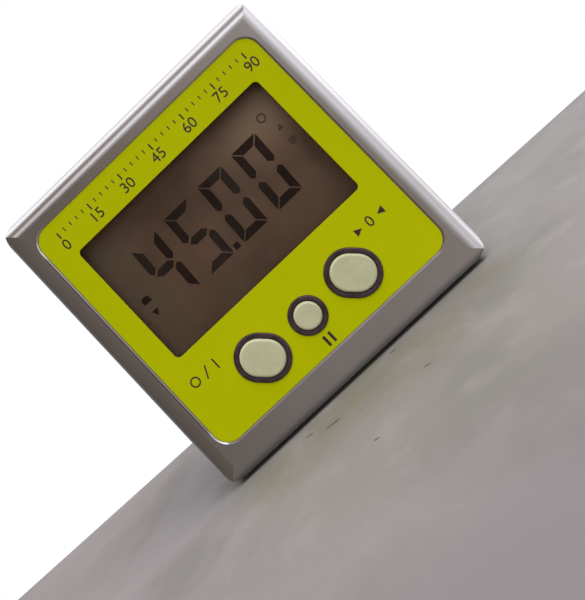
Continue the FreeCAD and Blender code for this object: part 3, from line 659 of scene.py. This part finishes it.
def thicken(net, faces, depth):
    """Turns flat faces into a closed plate that reaches depth metres further back."""
    made = bmesh.ops.extrude_face_region(net, geom=list(faces))
    for vert in [v for v in made["geom"] if isinstance(v, bmesh.types.BMVert)]:
        vert.co.y += depth
    bmesh.ops.recalc_face_normals(net, faces=net.faces)


def mark(name, outlines, face_y, finish):
    """One piece from flat outlines, each a list of (x, z) in millimetres from the middle of the label."""
    net = bmesh.new()
    front = face_y - MARK_PROUD * MM
    faces = [net.faces.new([net.verts.new((x * MM, front, label_middle + z * MM)) for x, z in outline])
             for outline in outlines]
    thicken(net, faces, (MARK_PROUD + MARK_SUNK) * MM)
    mesh = bpy.data.meshes.new(name)
    net.to_mesh(mesh)
    net.free()
    return add_piece(name, mesh, finish)


def mark_ring(name, x, z, radius, width, face_y, finish, steps=48):
    """One ring as a band of quads."""
    net = bmesh.new()
    front = face_y - MARK_PROUD * MM
    verts = []
    for i in range(steps):
        a = math.radians(360.0 * i / steps)
        row = [(x + r * math.cos(a), z + r * math.sin(a)) for r in (radius - width / 2, radius + width / 2)]
        verts.append([net.verts.new((u * MM, front, label_middle + v * MM)) for u, v in row])
    faces = [net.faces.new((a[0], a[1], b[1], b[0])) for a, b in zip(verts, verts[1:] + verts[:1])]
    thicken(net, faces, (MARK_PROUD + MARK_SUNK) * MM)
    mesh = bpy.data.meshes.new(name)
    net.to_mesh(mesh)
    net.free()
    return add_piece(name, mesh, finish)


# %% [markdown]
# ### The reading
#
# The display shows 45.00 in leaning seven-segment digits. Each segment is cut at 45 degrees where it meets
# its neighbours, with a thin gap between, and the upright ones end in blunt points at mid-height.

# %% Seven-segment digits
DIGIT_WIDE, DIGIT_TALL, BAR, GAP = 5.63, 12.5, 1.5, 0.16
LEAN = 0.604
MIDDLE = DIGIT_TALL / 2
SEGMENTS_OF = {"4": "bcfg", "5": "acdfg", "0": "abcdef"}


def segment_outlines():
    """Outlines of the seven segments of an upright digit whose lower left corner is at zero."""
    w, h, t, g, m = DIGIT_WIDE, DIGIT_TALL, BAR, GAP, MIDDLE
    top = [(g, h), (w - g, h), (w - t - g, h - t), (t + g, h - t)]
    upper = [(0, h - g), (t, h - t - g), (t, m + 0.9 * t - g), (0.42 * t, m + 0.3 * t), (0, m + 0.7 * t)]
    bar = [(0.55 * t, m), (t + g, m + t / 2), (w - t - g, m + t / 2), (w - 0.55 * t, m),
           (w - t - g, m - t / 2), (t + g, m - t / 2)]
    flip_x = lambda points: [(w - x, z) for x, z in points]
    flip_z = lambda points: [(x, h - z) for x, z in points]
    return {"a": top, "f": upper, "b": flip_x(upper), "g": bar, "d": flip_z(top),
            "e": flip_z(upper), "c": flip_z(flip_x(upper))}


film_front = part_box("front_polariser")[0].y
digit_lefts = (-15.34, -7.32, 0.71, 8.74)
digit_foot = -1.32
outlines = segment_outlines()
for place, (digit, left) in enumerate(zip("4500", digit_lefts), 1):
    for letter in SEGMENTS_OF[digit]:
        shape = [(left + x + LEAN * z / DIGIT_TALL, digit_foot + z) for x, z in outlines[letter]]
        mark(f"digit_{place}_{letter}", [shape], film_front, segment_dark)
point = [(-1.16, -1.32), (-0.03, -1.32), (0.02, -0.21), (-1.10, -0.21)]
mark("decimal_point", [point], film_front, segment_dark)

# %% The small signs beside the reading
mark_ring("degree_ring", 17.53, 12.15, 0.73, 0.29, film_front, segment_faint)
mark("tilt_up_tip", [[(18.16, 8.40), (19.40, 8.40), (18.78, 9.51)]], film_front, segment_faint)
up_stem = [(18.11, 5.32), (18.49, 5.03), (19.07, 5.03), (19.50, 5.32), (19.50, 6.38), (18.11, 6.38)]
mark("tilt_up_stem", [up_stem], film_front, segment_faint)
down_stem = [(-19.33, 2.68), (-17.70, 2.68), (-17.70, 3.64), (-18.09, 3.93), (-18.95, 3.93), (-19.33, 3.64)]
mark("tilt_down_stem", [down_stem], film_front, segment_dark)
mark("tilt_down_tip", [[(-19.24, 1.09), (-17.85, 1.09), (-18.54, -0.16)]], film_front, segment_dark)

# %% [markdown]
# ### Print on the label
#
# The dark print is ink. Beside the keys stand plain signs for what they do: a ring, a slash and a bar for on
# and off, two upright bars for hold, and a nought between two arrowheads for zero. Over the display, where
# such tools have room, runs a fine scale of a quarter turn with plain numbers.

# %% Ink
ink = Finish("print_ink")
tone = ink.noise(1.4, 2, 0.5, 3.0)
shade = ink.mix(ink.ease(tone, 0.35, 0.65), linear(52, 38, 34), linear(64, 48, 48))
print_ink = ink.surface(Base_Color=shade,
                        Roughness=ink.ease(tone, 0.3, 0.7, 0.45, 0.55), Specular_IOR_Level=0.2)


# %% Numbers
FIGURE_SHARE = 0.7      # height of a figure as a share of the size of its font


def number(name, text, x, z, tall, face_y, finish):
    """A number as a thin plate, its middle at (x, z)."""
    curve = bpy.data.curves.new(name, "FONT")
    curve.body, curve.size = text, tall / FIGURE_SHARE
    curve.align_x, curve.align_y = "CENTER", "CENTER"
    curve.resolution_u = 6
    holder = bpy.data.objects.new(name, curve)
    bpy.context.scene.collection.objects.link(holder)
    bpy.context.view_layer.update()
    flat = bpy.data.meshes.new_from_object(holder.evaluated_get(bpy.context.evaluated_depsgraph_get()))
    bpy.data.objects.remove(holder)
    net = bmesh.new()
    net.from_mesh(flat)
    bpy.data.meshes.remove(flat)
    bmesh.ops.remove_doubles(net, verts=net.verts, dist=1e-5)
    low = min(v.co.y for v in net.verts)
    high = max(v.co.y for v in net.verts)
    for vert in net.verts:
        rise = z + vert.co.y - (low + high) / 2
        vert.co = ((x + vert.co.x) * MM, face_y - MARK_PROUD * MM, label_middle + rise * MM)
    thicken(net, net.faces, (MARK_PROUD + MARK_SUNK) * MM)
    mesh = bpy.data.meshes.new(name)
    net.to_mesh(mesh)
    net.free()
    return add_piece(name, mesh, finish)


def bar(x0, z0, x1, z1, wide):
    """Outline of a straight stroke between two points."""
    a, b = Vector((x0, z0)), Vector((x1, z1))
    side = (b - a).normalized().orthogonal() * wide / 2
    return [tuple(p) for p in (a - side, b - side, b + side, a + side)]


# %% Scale over the display
SCALE_LEFT, SCALE_RIGHT, SCALE_TOP = -21.4, 22.4, 22.1
NUMBER_TALL, NUMBER_RISE = 1.9, 19.55
QUARTER, TICK_STEP, NUMBER_STEP = 90, 3, 15                # degrees
LONG_TICK, SHORT_TICK = (1.25, 0.26), (0.75, 0.18)         # length and width


def scale_x(degrees):
    """Where this many degrees lie on the scale."""
    return SCALE_LEFT + (SCALE_RIGHT - SCALE_LEFT) * degrees / QUARTER


ticks = []
for degrees in range(0, QUARTER + 1, TICK_STEP):
    x = scale_x(degrees)
    long, wide = SHORT_TICK if degrees % NUMBER_STEP else LONG_TICK
    ticks.append(bar(x, SCALE_TOP, x, SCALE_TOP - long, wide))
mark("scale_ticks", ticks, label_front, print_ink)
for degrees in range(0, QUARTER + 1, NUMBER_STEP):
    x = scale_x(degrees)
    number(f"scale_{degrees}", str(degrees), x, NUMBER_RISE, NUMBER_TALL, label_front, print_ink)
print("scale marks:", len(ticks))

# %% Signs beside the keys
mark_ring("sign_off_ring", -21.47, -12.55, 0.81, 0.24, label_front, print_ink)
mark("sign_slash", [bar(-19.46, -13.61, -18.40, -11.49, 0.24)], label_front, print_ink)
mark("sign_on_bar", [bar(-16.78, -13.56, -16.78, -11.54, 0.26)], label_front, print_ink)
mark("sign_hold", [bar(x, -23.5, x, -21.55, 0.5) for x in (-0.62, 0.53)], label_front, print_ink)
arrows = [[(x, -13.61), (x + tip, -12.93), (x, -12.26)] for x, tip in ((15.10, 1.34), (21.24, -1.34))]
mark("sign_zero_arrows", arrows, label_front, print_ink)
number("sign_zero", "0", 18.17, -12.93, NUMBER_TALL, label_front, print_ink)

# %% [markdown]
# ## Screws
#
# The CAD screws are plain heads on plain shanks. A real one has a cross recess and a thread, so each is made
# again: the outline of half a screw is turned about its axis, the thread is a ridge that climbs as it goes
# round, and the cross is cut out with a Boolean modifier. The new screw keeps the CAD screw's size.

# %% Screw builder
def turned(name, profile, steps, ridge):
    """A closed solid turned about the Y axis. profile is (radius, y) in metres from the tip to the top."""
    net = bmesh.new()
    rings = []
    for radius, y in profile:
        if radius < 1e-9:
            rings.append([net.verts.new((0, y, 0))])
            continue
        row = []
        for i in range(steps):
            a = 2 * math.pi * i / steps
            r = radius + ridge(y, i / steps)
            row.append(net.verts.new((r * math.cos(a), y, r * math.sin(a))))
        rings.append(row)
    for low, high in zip(rings, rings[1:]):
        for i in range(steps):
            j = (i + 1) % steps
            corners = [low[i % len(low)], low[j % len(low)], high[j % len(high)], high[i % len(high)]]
            net.faces.new(list(dict.fromkeys(corners)))
    bmesh.ops.recalc_face_normals(net, faces=net.faces)
    mesh = bpy.data.meshes.new(name)
    net.to_mesh(mesh)
    net.free()
    return mesh


def cross_cutter(wide, half_long, deep, top):
    """A tapering cross that reaches deep metres below top."""
    net = bmesh.new()
    for turn in (0, math.pi / 2):
        made = bmesh.ops.create_cube(net, size=1.0)["verts"]
        for vert in made:
            low = vert.co.y < 0
            shrink = 0.45 if low else 1.0
            vert.co = Vector((vert.co.x * 2 * half_long * shrink, top - deep if low else top + deep,
                              vert.co.z * wide * (0.8 if low else 1.0)))
        bmesh.ops.rotate(net, verts=made, cent=(0, 0, 0), matrix=Matrix.Rotation(turn, 3, "Y"))
    mesh = bpy.data.meshes.new("cutter")
    net.to_mesh(mesh)
    net.free()
    return mesh


def screw(node, head_radius, shank_radius, head_tall, pitch, thread_long):
    """A pan-head screw that stands for a CAD screw."""
    low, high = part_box(node)
    seat = high.y - head_tall
    core = shank_radius - 0.22 * pitch
    profile = [(0.0, low.y), (core * 0.72, low.y)]
    count = max(8, int(thread_long / pitch * 6))
    profile += [(core, low.y + 0.2 * pitch + thread_long * i / count) for i in range(count + 1)]
    neck = profile[-1][1]
    profile += [(shank_radius, neck + 0.3 * pitch), (shank_radius, seat), (head_radius, seat)]
    rounding = 0.42 * head_tall
    profile += [(head_radius - rounding * (1 - math.cos(a)), high.y - rounding * (1 - math.sin(a)))
                for a in (math.radians(v) for v in range(0, 91, 15))]
    profile += [(0.0, high.y)]

    def ridge(y, turn):
        inside = low.y + 0.5 * pitch < y < neck - 0.3 * pitch
        climb = ((y - low.y) / pitch - turn) % 1.0
        return (shank_radius - core) * max(0.0, 1 - abs(climb - 0.5) * 3.2) if inside else 0.0

    mesh = turned(node + "_turned", profile, 32, ridge)
    body = bpy.data.objects.new("blank", mesh)
    tool = bpy.data.objects.new("cutter", cross_cutter(0.26 * head_radius, 0.62 * head_radius,
                                                       0.72 * head_tall, high.y))
    for thing in (body, tool):
        bpy.context.scene.collection.objects.link(thing)
    cut = body.modifiers.new("cross", "BOOLEAN")
    cut.operation, cut.object, cut.solver = "DIFFERENCE", tool, "EXACT"
    cut.use_self = True
    bpy.context.view_layer.update()
    done = bpy.data.meshes.new_from_object(body.evaluated_get(bpy.context.evaluated_depsgraph_get()))
    bpy.data.objects.remove(body)
    bpy.data.objects.remove(tool)
    done.transform(Matrix.Translation(((low.x + high.x) / 2, 0, (low.z + high.z) / 2)))
    piece = add_piece(node + "_threaded", done, screw_steel)
    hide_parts(node)
    return piece


CASE_SIZES = [v * MM for v in (1.9, 1.0, 1.3, 0.5, 6.0)]      # in the order that screw() takes them
BOARD_SIZES = [v * MM for v in (1.6, 0.8, 0.8, 0.4, 3.2)]
for i in range(1, 5):
    screw(f"case_screw_{i}", *CASE_SIZES)
    made = screw(f"board_screw_{i}", *BOARD_SIZES)
print("screw vertices:", len(made.data.vertices))
